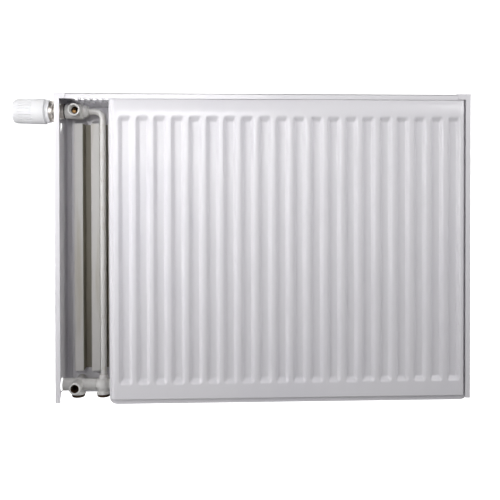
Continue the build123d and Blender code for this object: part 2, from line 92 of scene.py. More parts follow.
def area_light(name, at, towards, size, power, spread=180.0):
    """A rectangular light at a point, aimed at another, its rays kept within spread degrees."""
    data = bpy.data.lights.new(name, "AREA")
    data.shape = "RECTANGLE"
    data.size, data.size_y = size
    data.energy = power
    data.spread = math.radians(spread)
    light = bpy.data.objects.new(name, data)
    bpy.context.scene.collection.objects.link(light)
    light.location = at
    light.rotation_euler = (Vector(towards) - Vector(at)).to_track_quat("-Z", "Y").to_euler()


def seen_strength(tree, hidden, seen):
    """A strength for what the lens sees directly, and a softer one for what lights the object."""
    path = tree.nodes.new("ShaderNodeLightPath")
    strength = tree.nodes.new("ShaderNodeMapRange")
    strength.inputs["To Min"].default_value = hidden
    strength.inputs["To Max"].default_value = seen
    tree.links.new(path.outputs["Is Camera Ray"], strength.inputs["Value"])
    return strength.outputs["Result"]


def make_studio():
    """White surroundings, a white floor and soft window-like lights, mostly from the upper left."""
    world = bpy.data.worlds.new("studio")
    bpy.context.scene.world = world
    world.use_nodes = True
    tree = world.node_tree
    background = tree.nodes["Background"]
    background.inputs["Color"].default_value = (1.0, 1.0, 1.0, 1.0)
    tree.links.new(seen_strength(tree, UNSEEN_FILL, SEEN_WHITE), background.inputs["Strength"])

    middle = (-0.1, -0.05, 0.2)
    area_light("left", (-1.7, -1.2, 0.2), middle, (1.0, 1.0), 3.75, 80.0)
    area_light("upper_right", (1.4, -1.4, 1.1), (-0.05, -0.05, 0.05), (1.0, 1.0), 19.5)
    area_light("front", (-0.35, -2.6, 0.7), (-0.2, -0.05, 0.42), (1.0, 0.8), 1.35, 42.0)
    area_light("side_window", (-1.7, -0.55, 0.5), (-0.1, -0.05, 0.1), (0.8, 1.2), 6.6)
    area_light("upper_left", (-0.95, -1.0, 0.5), (-0.15, -0.05, 0.2), (0.6, 0.6), 0.83, 100.0)
    area_light("bay", (-0.3, -1.9, 0.15), (-0.38, -0.05, 0.1), (0.3, 0.5), 0.05, 18.0)

    area_light("back", (0.7, 2.4, 0.7), (0.0, 0.0, 0.0), (1.6, 1.2), 34.0)
    area_light("back_left", (-1.9, 1.3, 0.4), (-0.2, 0.0, 0.0), (1.0, 1.0), 10.0)
    area_light("overhead", (0.1, 0.7, 1.5), (0.0, 0.0, 0.2), (1.4, 0.6), 9.0)
    area_light("right_end", (2.3, 0.12, 0.3), (0.4, 0.0, 0.0), (0.8, 0.8), 12.0)

    mesh = bpy.data.meshes.new("floor")
    corners = [(-FLOOR_HALF, -FLOOR_HALF), (FLOOR_HALF, -FLOOR_HALF),
               (FLOOR_HALF, FLOOR_HALF), (-FLOOR_HALF, FLOOR_HALF)]
    mesh.from_pydata([(x, y, -FLOOR_DROP) for x, y in corners], [], [(0, 1, 2, 3)])
    floor = bpy.data.objects.new("floor", mesh)
    bpy.context.scene.collection.objects.link(floor)
    paint = bpy.data.materials.new("floor_paint")
    paint.use_nodes = True
    tree = paint.node_tree
    shader = tree.nodes["Principled BSDF"]
    shader.inputs["Base Color"].default_value = (0.34, 0.34, 0.34, 1.0)
    shader.inputs["Roughness"].default_value = 0.9
    shader.inputs["Emission Color"].default_value = (1.0, 1.0, 1.0, 1.0)
    tree.links.new(seen_strength(tree, 0.0, SEEN_WHITE), shader.inputs["Emission Strength"])
    mesh.materials.append(paint)


# ---------------------------------------------------------------- materials

ROUGH_SPREAD = 0.06


def finish(name, colour, roughness, metallic=0.0, coat=0.0, tint=(1.0, 1.0, 1.0), tint_share=0.06,
           cloud=(7.0, 7.0, 7.0), grain=700.0, grain_height=0.00004):
    """A paint, metal or plastic with a cloudy tint, and a fine grain in its gloss and relief.

    cloud and grain are the noises' scales per metre, and grain_height is in metres.
    """
    material = bpy.data.materials.new(name)
    material.use_nodes = True
    tree = material.node_tree
    add, link = tree.nodes.new, tree.links.new
    shader = tree.nodes["Principled BSDF"]
    shader.inputs["Metallic"].default_value = metallic
    shader.inputs["Coat Weight"].default_value = coat
    shader.inputs["Coat Roughness"].default_value = 0.12

    place = add("ShaderNodeTexCoord")
    stretch = add("ShaderNodeMapping")
    stretch.inputs["Scale"].default_value = cloud
    link(place.outputs["Object"], stretch.inputs["Vector"])
    clouds = add("ShaderNodeTexNoise")
    clouds.inputs["Scale"].default_value = 1.0
    clouds.inputs["Detail"].default_value = 4.0
    link(stretch.outputs["Vector"], clouds.inputs["Vector"])
    colours = add("ShaderNodeValToRGB")
    shaded = [c * (1 - tint_share + tint_share * t) for c, t in zip(colour, tint)]
    darker = [c * (1 - tint_share) * t for c, t in zip(colour, tint)]
    colours.color_ramp.elements[0].position = 0.3
    colours.color_ramp.elements[0].color = (*darker, 1.0)
    colours.color_ramp.elements[1].position = 0.62
    colours.color_ramp.elements[1].color = (*colour, 1.0)
    middle = colours.color_ramp.elements.new(0.46)
    middle.color = (*shaded, 1.0)
    link(clouds.outputs["Fac"], colours.inputs["Fac"])
    link(colours.outputs["Color"], shader.inputs["Base Color"])

    fine = add("ShaderNodeTexNoise")
    fine.inputs["Scale"].default_value = grain
    fine.inputs["Detail"].default_value = 3.0
    link(place.outputs["Object"], fine.inputs["Vector"])
    gloss = add("ShaderNodeMapRange")
    gloss.inputs["To Min"].default_value = roughness - ROUGH_SPREAD
    gloss.inputs["To Max"].default_value = roughness + ROUGH_SPREAD
    link(fine.outputs["Fac"], gloss.inputs["Value"])
    link(gloss.outputs["Result"], shader.inputs["Roughness"])
    bump = add("ShaderNodeBump")
    bump.inputs["Strength"].default_value = 0.5
    bump.inputs["Distance"].default_value = grain_height
    link(fine.outputs["Fac"], bump.inputs["Height"])
    link(bump.outputs["Normal"], shader.inputs["Normal"])
    return material


ENAMEL = finish("baked_enamel", (0.80, 0.786, 0.82), 0.34, coat=0.25, tint=(0.985, 0.985, 1.0),
                tint_share=0.03, cloud=(5.0, 5.0, 3.0), grain=900.0, grain_height=0.00003)
FIN_COAT = finish("fin_primer", (0.74, 0.725, 0.71), 0.55, tint=(0.93, 0.9, 0.82),
                  tint_share=0.12, cloud=(55.0, 55.0, 4.0), grain=1400.0, grain_height=0.00005)
# Painted shade: a dark olive coat for the fins' troughs and side walls, standing in for the shade
# between the fins.
TROUGH_SHADE_PAINT = finish("fin_trough_painted_shade", (0.37, 0.345, 0.285), 0.6, tint=(0.9, 0.87, 0.78),
                     tint_share=0.2)
PIPE_ENAMEL = finish("pipe_enamel", (0.80, 0.79, 0.775), 0.34, coat=0.2, tint=(0.97, 0.94, 0.91),
                     tint_share=0.07, cloud=(60.0, 60.0, 60.0), grain=1100.0)
PLASTIC = finish("white_plastic", (0.86, 0.86, 0.875), 0.42, tint=(0.97, 0.97, 1.0),
                 tint_share=0.03, cloud=(40.0, 40.0, 40.0), grain=2600.0, grain_height=0.00002)
GREY_PLASTIC = finish("grey_plastic", (0.32, 0.32, 0.33), 0.5, cloud=(90.0, 90.0, 90.0),
                      grain=2600.0)
# Turned brass, its colour darkened as painted shade for the insert seen deep inside the valve
# housing.
BRASS_DARKENED_AS_SHADE = finish("turned_brass_with_painted_shade", (0.42, 0.24, 0.10), 0.42, metallic=1.0, tint=(0.8, 0.7, 0.55),
               tint_share=0.25, cloud=(400.0, 40.0, 40.0), grain=3000.0)
NICKEL = finish("nickel_plate", (0.80, 0.765, 0.72), 0.42, metallic=1.0, tint=(0.85, 0.8, 0.75),
                tint_share=0.2, cloud=(300.0, 60.0, 60.0), grain=3000.0)
SPRING = finish("drawn_steel", (0.55, 0.56, 0.58), 0.3, metallic=1.0, cloud=(200.0, 200.0, 200.0))
RUBBER = finish("seal_rubber", (0.025, 0.025, 0.026), 0.6, cloud=(200.0, 200.0, 200.0),
                grain=2000.0)
# Bare steel as inside the bores and on the threads, but darkened to near black as painted shade.
BARE_STEEL_AND_SHADE = finish("bare_steel_and_painted_shade", (0.075, 0.042, 0.022), 0.6, metallic=0.3, tint=(0.6, 0.5, 0.4),
                   tint_share=0.5, cloud=(160.0, 160.0, 160.0), grain=1500.0)
COPPER = finish("drawn_copper", (0.72, 0.36, 0.22), 0.3, metallic=1.0, tint=(0.7, 0.6, 0.5),
                tint_share=0.25, cloud=(60.0, 60.0, 60.0), grain=2600.0)

FINISHES = {
    "enamel": ENAMEL, "fin_coat": FIN_COAT, "pipe_enamel": PIPE_ENAMEL, "brass": BRASS_DARKENED_AS_SHADE,
    "nickel": NICKEL, "spring_steel": SPRING, "seal_rubber": RUBBER, "white_plastic": PLASTIC,
    "grey_plastic": GREY_PLASTIC, "sensor_copper": COPPER,
}


# ---------------------------------------------------------------- surfaces and solids

AROUND = 64              # points round a turned shape
RIM = 0.7                # how far the rims of tubes and bores are softened


def quads(rows, columns, wrap_rows=False, wrap_columns=False, first=0):
    """Corner numbers of the faces of a grid whose points are listed row by row."""
    row = np.arange(rows if wrap_rows else rows - 1)[:, None]
    column = np.arange(columns if wrap_columns else columns - 1)[None, :]
    next_row = (row + 1) % rows
    next_column = (column + 1) % columns
    corners = [
        row * columns + column, row * columns + next_column,
        next_row * columns + next_column, next_row * columns + column,
    ]
    return np.stack([first + corner.ravel() for corner in corners], axis=1)


def plain_object(name, points, faces):
    """A closed mesh from points in millimetres, with its poles merged and its faces outwards."""
    mesh = bpy.data.meshes.new(name)
    faces = faces.tolist() if isinstance(faces, np.ndarray) else faces
    mesh.from_pydata((np.asarray(points) * MM).tolist(), [], faces)
    shape = bmesh.new()
    shape.from_mesh(mesh)
    bmesh.ops.remove_doubles(shape, verts=shape.verts, dist=1e-7)
    bmesh.ops.recalc_face_normals(shape, faces=shape.faces)
    shape.to_mesh(mesh)
    shape.free()
    mesh.polygons.foreach_set("use_smooth", np.ones(len(mesh.polygons), bool))
    thing = bpy.data.objects.new(name, mesh)
    bpy.context.scene.collection.objects.link(thing)
    return thing


def piece(name, points, faces, body, slot, stands_for=(), sharp=35.0):
    """A finished piece: its mesh, its finish, the body it rides on and the node it stands for."""
    thing = plain_object(name, points, faces)
    thing.data.set_sharp_from_angle(angle=math.radians(sharp))
    thing.data.materials.append(FINISHES[slot])
    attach(thing, body)
    if stands_for:
        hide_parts(*stands_for)
    return thing


def shell(outer, inner):
    """Points and faces of a sheet: two grids of the same size, joined round their four edges."""
    rows, columns = outer.shape[:2]
    count = rows * columns
    number = np.arange(count).reshape(rows, columns)
    rim = np.concatenate([
        number[0, :-1], number[:-1, -1], number[-1, :0:-1], number[:0:-1, 0],
    ])
    after = np.roll(rim, -1)
    faces = np.concatenate([
        quads(rows, columns),
        quads(rows, columns, first=count)[:, ::-1],
        np.stack([after, rim, rim + count, after + count], axis=1),
    ])
    return np.concatenate([outer.reshape(-1, 3), inner.reshape(-1, 3)]), faces


def rounded(corners, radius, steps=4, closed=True):
    """The outline with each corner replaced by a quadratic curve that starts radius away.

    Near a short side the curve starts at under half of that side.
    """
    corners = np.asarray(corners, float)
    line = []
    last = len(corners) - 1
    for number, corner in enumerate(corners):
        if not closed and number in (0, last):
            line.append(corner[None, :])
            continue
        before = corners[number - 1] - corner
        after = corners[(number + 1) % len(corners)] - corner
        reach_before = min(radius, 0.45 * np.linalg.norm(before))
        reach_after = min(radius, 0.45 * np.linalg.norm(after))
        start = corner + before / np.linalg.norm(before) * reach_before
        end = corner + after / np.linalg.norm(after) * reach_after
        t = np.linspace(0.0, 1.0, steps)[:, None]
        line.append((1 - t) ** 2 * start + 2 * t * (1 - t) * corner + t ** 2 * end)
    return np.concatenate(line)


def spin(profile, segments, centre, axis, closed=True, shape=None):
    """Points and faces of a profile of (distance along the axis, radius) turned round it.

    shape may change the radius: it gets the angle, the distance along and the radius.
    """
    angle = np.linspace(0.0, 2 * math.pi, segments, endpoint=False)[:, None]
    along = np.broadcast_to(profile[None, :, 0], (segments, len(profile)))
    radius = np.broadcast_to(profile[None, :, 1], along.shape)
    if shape is not None:
        radius = shape(angle, along, radius)
    across, up = radius * np.cos(angle), radius * np.sin(angle)
    order = {"x": (along, across, up), "y": (up, along, across), "z": (across, up, along)}
    points = np.stack(order[axis], axis=-1) + np.asarray(centre, float)
    return points.reshape(-1, 3), quads(segments, len(profile), True, closed)


def block_solid(low, high):
    """A box between two corners."""
    x, y, z = np.meshgrid(*zip(low, high), indexing="ij")
    points = np.stack([x, y, z], axis=-1).reshape(-1, 3)
    faces = [(0, 1, 3, 2), (4, 6, 7, 5), (0, 4, 5, 1), (2, 3, 7, 6), (0, 2, 6, 4), (1, 5, 7, 3)]
    return points, np.array(faces)


def plate_solid(outline, low, high, axes):
    """A flat plate: an outline of corners carried from low to high along the third axis."""
    outline = np.asarray(outline, float)
    count = len(outline)
    points = np.empty((2 * count, 3))
    first, second, third = axes
    points[:, first] = np.tile(outline[:, 0], 2)
    points[:, second] = np.tile(outline[:, 1], 2)
    points[:, third] = np.repeat((low, high), count)
    number = np.arange(count)
    after = np.roll(number, -1)
    sides = np.stack([number, after, after + count, number + count], axis=1).tolist()
    return points, sides + [number[::-1].tolist(), (number + count).tolist()]


def join_plates(*solids):
    """Several plates as one list of points and one list of faces."""
    points, faces, first = [], [], 0
    for solid_points, solid_faces in solids:
        points.append(solid_points)
        faces += [[corner + first for corner in face] for face in solid_faces]
        first += len(solid_points)
    return np.concatenate(points), faces


def tube_solid(start, end, outer, bore, centre, axis):
    """A round tube with softened rims, between two distances along its axis."""
    profile = [(start, bore), (start, outer), (end, outer), (end, bore)]
    return spin(rounded(profile, RIM), AROUND, centre, axis)


def bar_solid(start, end, radius, centre, axis, end_radius=None):
    """A round bar with softened rims, or a cone when end_radius is given."""
    end_radius = radius if end_radius is None else end_radius
    profile = [(start, 0.0), (start, radius), (end, end_radius), (end, 0.0)]
    return spin(rounded(profile, 0.9, closed=False), AROUND, centre, axis, closed=False)


def ball_solid(radius, centre, squash=1.0):
    """A ball turned about the vertical, flattened by squash from top to bottom."""
    angle = np.linspace(-math.pi / 2, math.pi / 2, 33)
    profile = np.stack([radius * squash * np.sin(angle), radius * np.cos(angle)], axis=1)
    profile[[0, -1], 1] = 0.0
    return spin(profile, AROUND, centre, "z", closed=False)


def bore_solid(start, end, radius, centre, axis, flare=RIM):
    """A round drill from start to end, opening out by flare at its start."""
    step = math.copysign(flare, end - start)
    profile = np.array([
        (start - step, 0.0), (start - step, radius + 1.6 * flare), (start, radius + 0.6 * flare),
        (start + step, radius), (end, radius), (end, 0.0),
    ])
    return spin(profile, AROUND, centre, axis, closed=False)


def merged(*solids):
    """Several lists of points and faces as one."""
    points, faces, first = [], [], 0
    for solid_points, solid_faces in solids:
        points.append(solid_points)
        faces.append(np.asarray(solid_faces) + first)
        first += len(solid_points)
    return np.concatenate(points), np.concatenate(faces)


def offset_normals(line):
    """Unit normals of a flat open line of points, each a quarter turn left of its direction."""
    along = np.gradient(line, axis=0)
    along /= np.linalg.norm(along, axis=1)[:, None]
    return np.stack([-along[:, 1], along[:, 0]], axis=1)


def carried_up(line, levels):
    """A grid of points: a line of (x, y) repeated at each level of z."""
    grid = np.empty((len(levels), len(line), 3))
    grid[:, :, :2] = line[None, :, :]
    grid[:, :, 2] = levels[:, None]
    return grid


def settled(thing):
    """Makes the result of a piece's modifiers its own mesh."""
    graph = bpy.context.evaluated_depsgraph_get()
    mesh = bpy.data.meshes.new_from_object(thing.evaluated_get(graph))
    thing.modifiers.clear()
    thing.data = mesh


def drilled(thing, points, faces, inside, material_mode="INDEX"):
    """Cuts a closed solid out of a piece; inside is the material of the drill."""
    drill = plain_object("drill", points, faces)
    drill.data.materials.append(inside)
    cut = thing.modifiers.new("cut", "BOOLEAN")
    cut.operation = "DIFFERENCE"
    cut.solver = "EXACT"
    cut.material_mode = material_mode
    cut.object = drill
    settled(thing)
    bpy.data.objects.remove(drill)


def fused(name, solids, bores, body, slot, stands_for, voxel=0.7, smooth_steps=6):
    """Closed solids that overlap, melted into one casting with small fillets where they meet.

    The bores are closed solids cut out of it afterwards, each with the material of its wall.
    """
    thing = piece(name, *merged(*solids), body, slot, stands_for)
    melt = thing.modifiers.new("melt", "REMESH")
    melt.mode = "VOXEL"
    melt.voxel_size = voxel * MM
    melt.use_smooth_shade = True
    soften = thing.modifiers.new("soften", "SMOOTH")
    soften.factor = 0.5
    soften.iterations = smooth_steps
    settled(thing)
    for bore in bores:
        drilled(thing, *bore, material_mode="TRANSFER")
    thing.data.set_sharp_from_angle(angle=math.radians(40.0))
    return thing


# ---------------------------------------------------------------- pressed panels

PITCH = 33.6             # from flute to flute
RECESS_FLAT = 10.6       # flat width of a flute's floor
SLOPE = 8.6              # width of a flute's side
EDGE_SLOPE = 3.8         # width of the field's outer side
RAISE = 7.0              # height of the field above the seam
SHEET = 1.2
FIELD_EDGE = 388.7       # where the field's outer side starts, from the middle
END_SLOPE = 2.5          # height of the field's upper and lower side
FLUTE_END = 13.5         # length over which a flute runs out
FLUTE_LOW = -263.0
FLUTE_HIGH = 258.0
FIELD_LOW = -291.5
CORNER = 14.0            # radius of the lower corners
OUTER_DROP = 6.5         # from the sheet's upper edge down to its field, outer sheets
INNER_DROP = 11.5        # the same, inner sheets


def ramp(t, bend=0.36):
    """Rises from 0 to 1 with a straight middle and a rounded bend at each end."""
    t = np.clip(t, 0.0, 1.0)
    steep = 1.0 / (1.0 - bend)
    start = steep * t ** 2 / (2 * bend)
    end = 1.0 - steep * (1.0 - t) ** 2 / (2 * bend)
    return np.where(t < bend, start, np.where(t > 1 - bend, end, steep * (t - bend / 2)))


def relief(x, z, left, left_slope, field_high, flutes):
    """Height of the pressing above its seam: a raised field less the rounded flutes."""
    field = ramp((x - left) / left_slope) * ramp((FIELD_EDGE + EDGE_SLOPE - x) / EDGE_SLOPE)
    field = field * ramp((z - FIELD_LOW) / END_SLOPE) * ramp((field_high - z) / END_SLOPE)
    nearest = np.clip(np.round(x / PITCH), flutes[0], flutes[-1])
    across = np.clip((np.abs(x - nearest * PITCH) - RECESS_FLAT / 2) / SLOPE, 0.0, 1.0)
    below = (FLUTE_LOW + FLUTE_END - z) / FLUTE_END
    above = (z - FLUTE_HIGH + FLUTE_END) / FLUTE_END
    beyond = np.clip(np.maximum(below, above), 0.0, 1.0)
    away = (across ** 3 + beyond ** 3) ** (1 / 3)
    return RAISE * (field - (1.0 - ramp(away)) * field)


def panel_columns(left_edge, right_edge, left, left_slope, flutes):
    """Where the grid has points along x: close together on slopes, none between on flats."""
    step = np.linspace(0.0, 1.0, 9)
    half = RECESS_FLAT / 2
    stops = [[left_edge, right_edge], left + left_slope * step, FIELD_EDGE + EDGE_SLOPE * step]
    for flute in flutes:
        centre = flute * PITCH
        stops.append(centre - half - SLOPE * step)
        stops.append(centre + half + SLOPE * step)
        stops.append([centre])
    return np.unique(np.round(np.concatenate(stops), 4))


def panel_rows(low, high, field_high):
    """Where the grid has points along z: close together at corners, slopes and flute ends."""
    step = np.linspace(0.0, 1.0, 11)
    stops = [
        [low, high], FIELD_LOW + END_SLOPE * step[::2], field_high - END_SLOPE * step[::2],
        low + CORNER * step, FLUTE_LOW + FLUTE_END * step, FLUTE_HIGH - FLUTE_END * step,
        np.linspace(FLUTE_LOW + FLUTE_END, FLUTE_HIGH - FLUTE_END, 8),
    ]
    return np.unique(np.round(np.concatenate(stops), 4))


def pressed_sheet(node, left, left_slope, flutes, field_drop, side):
    """A sheet pressed towards side (-1 is the room, +1 the wall) from its seam plane."""
    low, high = box_mm(node)
    field_high = high[2] - field_drop
    x = panel_columns(low[0], high[0], left, left_slope, flutes)[None, :]
    z = panel_rows(low[2], high[2], field_high)[:, None]
    lift = relief(x, z, left, left_slope, field_high, flutes)
    drop = np.clip((low[2] + CORNER - z) / CORNER, 0.0, 1.0)
    inset = CORNER * (1.0 - np.sqrt(1.0 - drop ** 2))
    ease = 1.5 * CORNER
    near_left = np.clip(1.0 - (x - low[0]) / ease, 0.0, 1.0)
    near_right = np.clip(1.0 - (high[0] - x) / ease, 0.0, 1.0)
    x = x + inset * near_left - inset * near_right
    seam = high[1] if side < 0 else low[1]
    z = np.broadcast_to(z, lift.shape)
    outer = np.stack([x, seam + side * (SHEET + lift), z], axis=-1)
    inner = np.stack([x, seam + side * lift * 0.995, z], axis=-1)
    piece(node + "_pressed", *shell(outer, inner), "root", "enamel", (node,), sharp=60.0)


def make_panels():
    """Two panels of two sheets each; the front one starts later, to leave the fittings open."""
    front_flutes = range(-8, 12)
    rear_flutes = range(-11, 12)
    cut_left = -9 * PITCH + RECESS_FLAT / 2
    full_left = -FIELD_EDGE - EDGE_SLOPE
    pressed_sheet("front_panel_outer_sheet", cut_left, SLOPE, front_flutes, OUTER_DROP, -1)
    pressed_sheet("front_panel_inner_sheet", cut_left, SLOPE, front_flutes, INNER_DROP, 1)
    pressed_sheet("rear_panel_outer_sheet", full_left, EDGE_SLOPE, rear_flutes, OUTER_DROP, 1)
    pressed_sheet("rear_panel_inner_sheet", full_left, EDGE_SLOPE, rear_flutes, INNER_DROP, -1)


# ---------------------------------------------------------------- convectors

FIN_SHEET = 0.6
FIN_CREST = 17.5         # width of a wave's flat top
FIN_BEND = 1.6
CREST_DEPTH = 2.2        # the fin coat down to here, painted shade on faces deeper than this


def convector(node, side):
    """A strip folded into square waves, its bends rounded, from one panel face outwards."""
    low, high = box_mm(node)
    root, crest = (high[1], low[1]) if side < 0 else (low[1], high[1])
    count = int(round((high[0] - low[0] - FIN_CREST) / PITCH)) + 1
    half = (FIN_CREST - FIN_SHEET) / 2
    first = low[0] + FIN_CREST / 2
    middle_root = root + side * FIN_SHEET / 2
    middle_crest = crest - side * FIN_SHEET / 2
    corners = []
    for step in range(count):
        x = first + PITCH * step
        corners += [(x - half, middle_root), (x - half, middle_crest)]
        corners += [(x + half, middle_crest), (x + half, middle_root)]
    line = rounded(corners, FIN_BEND, steps=5, closed=False)
    normal = offset_normals(line) * FIN_SHEET / 2
    z = np.linspace(low[2], high[2], 7)
    surfaces = [carried_up(np.clip(face, low[:2], high[:2]), z)
                for face in (line + normal, line - normal)]
    fins = piece(node + "_folded", *shell(*surfaces), "root", "fin_coat", (node,))
    # The crests keep the fin coat; the troughs and side walls get the painted shade.
    fins.data.materials.append(TROUGH_SHADE_PAINT)
    middles = np.empty(len(fins.data.polygons) * 3)
    fins.data.polygons.foreach_get("center", middles)
    painted_shade_faces = np.abs(middles.reshape(-1, 3)[:, 1] / MM - crest) > CREST_DEPTH
    fins.data.polygons.foreach_set("material_index", painted_shade_faces.astype(np.int32))


# ---------------------------------------------------------------- grille and side covers

COVER_SHEET = 1.0
SLAT_PITCH = 12.0        # from slot to slot
SLOT_HALF = 4.0          # half a slot's width
BLADE = 7.5              # depth of a blade under the top
BLADE_HALF = 0.4         # half a blade's thickness
RIB_HALF = 3.0           # half the width of the rib between the two rows of slots
SLOT_MARGIN = 5.0        # from a row's outer end to the hook beside it
BAR_LAP = 0.4            # how far the bars between slots reach under the strips beside them
ROW_ENDS = 40.0          # what the rows leave free, both ends together
GRILLE_LIP = 10.0
HOOK_FRONT = -104.6
HOOK_BACK = -25.4
HOOK_FRONT_START = -297.0
HOOK_BACK_START = -390.0


def make_grille():
    """Slotted roof between the panels, each slot's flap bent down into an upright blade."""
    low, high = box_mm("top_grille")
    top, under = high[2], high[2] - COVER_SHEET
    middle = (HOOK_FRONT + HOOK_BACK) / 2
    reach = (HOOK_BACK - HOOK_FRONT) / 2 - SLOT_MARGIN
    bar = reach + BAR_LAP
    columns = int((high[0] - low[0] - ROW_ENDS) / SLAT_PITCH)
    x = (np.arange(columns) - (columns - 1) / 2) * SLAT_PITCH
    solids = [
        block_solid((low[0], low[1], under), (high[0], middle - reach, top)),
        block_solid((low[0], middle - RIB_HALF, under), (high[0], middle + RIB_HALF, top)),
        block_solid((low[0], middle + reach, under), (high[0], high[1], top)),
        block_solid((low[0], low[1], top - GRILLE_LIP), (high[0], low[1] + COVER_SHEET, top)),
        block_solid((low[0], high[1] - COVER_SHEET, top - GRILLE_LIP), (high[0], high[1], top)),
        block_solid((HOOK_FRONT_START, HOOK_FRONT, low[2]),
                    (high[0], HOOK_FRONT + COVER_SHEET, under)),
        block_solid((HOOK_BACK_START, HOOK_BACK - COVER_SHEET, low[2]),
                    (high[0], HOOK_BACK, under)),
    ]
    sides = [edge for centre in x for edge in (centre - SLOT_HALF, centre + SLOT_HALF)]
    edges = [low[0]] + sides + [high[0]]
    for start, end in zip(edges[0::2], edges[1::2]):
        solids.append(block_solid((start, middle - bar, under), (end, middle + bar, top)))
    for centre in x:
        left = centre - SLOT_HALF
        for side in (-1, 1):
            near, far = sorted((middle + side * RIB_HALF, middle + side * reach))
            solids.append(block_solid((left - BLADE_HALF, near, top - BLADE),
                                      (left + BLADE_HALF, far, under + 0.2)))
    piece("grille_slotted", *merged(*solids), "root", "enamel", ("top_grille",))


FLANGE = 10.0            # depth of the folded front and back flanges
FLANGE_BEND = 2.2
LIP_HEIGHT = 10.7
LIP_SLANT = 3.0          # how much longer the lip is above than below
LIP_INSET = 0.06         # keeps the lip plates off the flange's own planes
NECK_HOLE = 15.6         # radius of the hole round the valve's neck
SOCKET_HOLE = 13.3       # radius of the hole round the lower socket
STEP_IN = 40.0           # where the cut-out of the lower edge starts, from the front
STEP_UP = 8.0
TONGUE_ROOT = 225.5
TONGUE_LENGTH = 21.0
TONGUE_LEAN = 6.0
TONGUE_FRONT = -68.0
TONGUE_BACK = -56.0
TONGUE_GAP = 0.6         # of the window round the tongue, at its front and back


def cover_drills(face, side, low, back):
    """What is cut out of a cover: two round holes, the step below and the tongue's window."""
    outside, within = face - 2.0 * side, face + 2.0 * side
    drills = [
        spin(np.array([(outside, 0.0), (outside, radius), (within, radius), (within, 0.0)]),
             AROUND, (0.0, PIPE_Y, z), "x", closed=False)
        for z, radius in ((VALVE_Z, NECK_HOLE), (PORT_Z, SOCKET_HOLE))
    ]
    x_low, x_high = sorted((outside, face + side * (FLANGE + 4.0)))
    step = rounded([
        (low[1] + STEP_IN, low[2] - 2.0), (low[1] + STEP_IN, low[2] + STEP_UP),
        (back + 2.0, low[2] + STEP_UP), (back + 2.0, low[2] - 2.0),
    ], 3.0, 5)
    drills.append(plate_solid(step, x_low, x_high, (1, 2, 0)))
    drills.append(block_solid(
        (min(outside, within), TONGUE_FRONT - TONGUE_GAP, TONGUE_ROOT + COVER_SHEET),
        (max(outside, within), TONGUE_BACK + TONGUE_GAP, TONGUE_ROOT + TONGUE_LENGTH + 1.0)))
    return drills


def cover_plates(face, side, lip, front, back, top):
    """The slanted lips and the roof at the top, and the tongue bent in from its window."""
    root, end = face + side * 0.4, face + side * lip
    slant = [
        (root, top - LIP_HEIGHT), (face + side * (lip - LIP_SLANT), top - LIP_HEIGHT),
        (end, top - 0.3), (root, top - 0.3),
    ]
    roof_x = sorted((face, end))
    inner = face + side * COVER_SHEET
    tip = TONGUE_ROOT + TONGUE_LENGTH
    tongue = [
        (face, TONGUE_ROOT), (inner, TONGUE_ROOT), (inner + side * TONGUE_LEAN, tip),
        (inner + side * (TONGUE_LEAN - 1.1), tip), (inner - side * 0.2, TONGUE_ROOT + 4.0),
        (face, TONGUE_ROOT + COVER_SHEET),
    ]
    inset, outset = LIP_INSET, LIP_INSET + COVER_SHEET
    return join_plates(
        plate_solid(slant, front + inset, front + outset, (0, 2, 1)),
        plate_solid(slant, back - outset, back - inset, (0, 2, 1)),
        block_solid((roof_x[0], front, top - COVER_SHEET), (roof_x[1], back, top)),
        plate_solid(tongue, TONGUE_FRONT, TONGUE_BACK, (0, 2, 1)),
    )


def make_side_cover(node, side, lip):
    """A sheet folded into a C round the end, with a slanted lip, a roof and a lanced tongue.

    Its outline in plan is carried up, and thickened inwards along its normals.
    """
    low, high = box_mm(node)
    face = low[0] if side > 0 else high[0]
    front, back = low[1], high[1]
    outline = rounded([
        (face + side * FLANGE, back), (face, back),
        (face, front), (face + side * FLANGE, front),
    ], FLANGE_BEND, 5, closed=False)
    levels = np.linspace(low[2], high[2] - COVER_SHEET, 9)
    inside = outline + offset_normals(outline) * side * COVER_SHEET
    folded = shell(carried_up(outline, levels), carried_up(inside, levels))
    web = plain_object(node + "_folded", *folded)
    web.data.materials.append(ENAMEL)
    for drill in cover_drills(face, side, low, back):
        drilled(web, *drill, ENAMEL)
    web.data.set_sharp_from_angle(angle=math.radians(35.0))
    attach(web, "root")
    plates = cover_plates(face, side, lip, front, back, high[2])
    piece(node + "_roof", *plates, "root", "enamel")
    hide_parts(node)


# ---------------------------------------------------------------- valve, pipes and tees

PIPE_RADIUS = 6.0
PIPE_BORE = 5.0
PIPE_BEND = 15.0
PIPE_SOCKET = 6.05       # radius of the bores that take the pipe
TUBE_BORE = 9.4          # inner radius of the cross tube and of the connections below
PIPE_Y = (box_mm("riser_pipe")[0][1] + box_mm("riser_pipe")[1][1]) / 2
VALVE_Z = box_mm("riser_pipe")[1][2] - PIPE_RADIUS
PORT_Z = (box_mm("cross_tube")[0][2] + box_mm("cross_tube")[1][2]) / 2
TEE_X = 11 * PITCH
SUPPLY_X = box_mm("riser_pipe")[1][0] - PIPE_RADIUS


HOUSING_SHOULDER = -358.0    # where the wide barrel ends and the pipe's narrower one begins
INSERT_DEPTH = -372.0        # how far in the insert's bore goes
PORT_DEPTH = 13.0            # of the open port in the valve housing and in the return tee
PORT_BACK = 20.0             # how far the narrow bore goes on behind the pipes' plane


